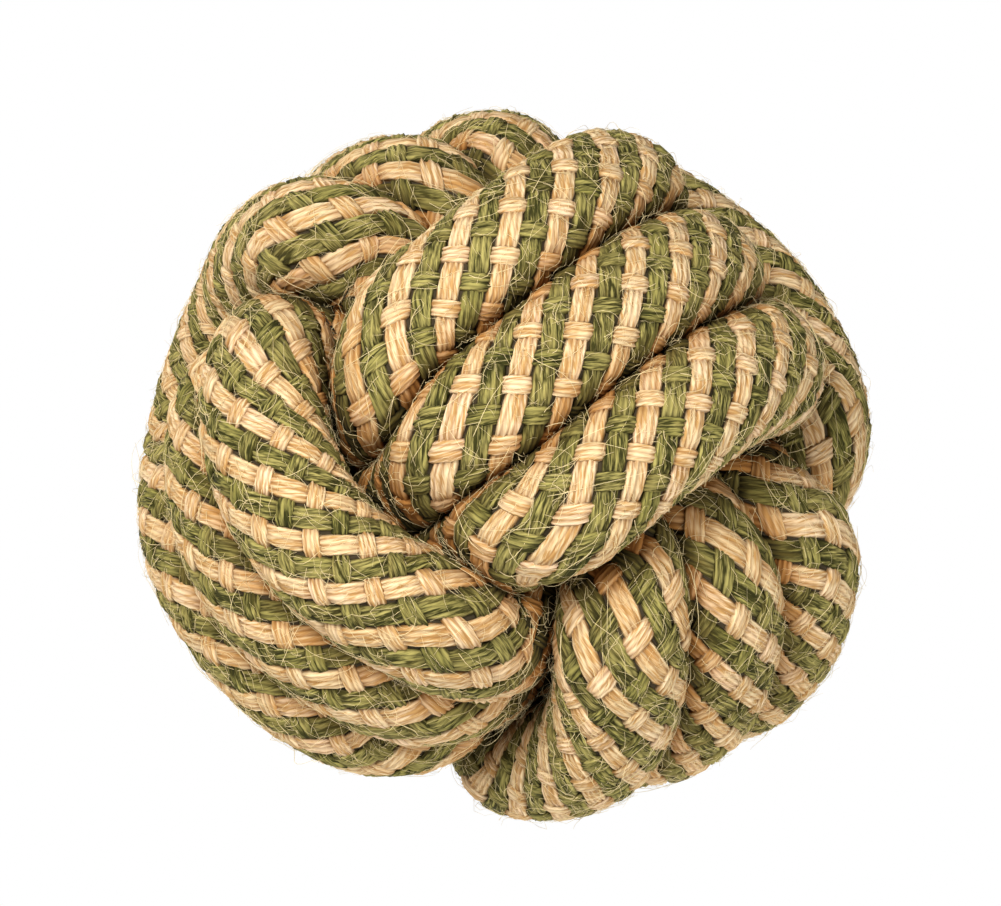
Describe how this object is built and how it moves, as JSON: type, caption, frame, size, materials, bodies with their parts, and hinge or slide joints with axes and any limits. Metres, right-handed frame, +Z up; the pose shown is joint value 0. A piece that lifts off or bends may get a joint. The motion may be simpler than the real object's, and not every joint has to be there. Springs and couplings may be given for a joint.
{
  "type": "monkey fist knot",
  "caption": "Round monkey fist knot of striped braided jute rope, wound in crossing rings of turns round a hidden ball, with its ends tucked inside.",
  "frame": {"origin": "on the floor under the middle of the knot, in the flat of its lowest turn", "axes": "+Z up. The three rings of turns are square to the X, Y and Z axes, and the rope leaves the ring across Z first"},
  "size_m": [0.1074, 0.1091, 0.1073],
  "materials": {
    "jute_braid": "matt braided jute, straw and olive green yarns in slanting stripes, with loose fibres",
    "cotton_filler": "matt laid cotton yarns",
    "ball_wood": "turned beech, bare",
    "waxed_twine": "waxed twine in close turns"
  },
  "bodies": {
    "root": {"rope_cover": "jute_braid", "rope_filler": "cotton_filler", "core_ball": "ball_wood", "start_whipping": "waxed_twine", "end_whipping": "waxed_twine"}
  },
  "joints": []
}
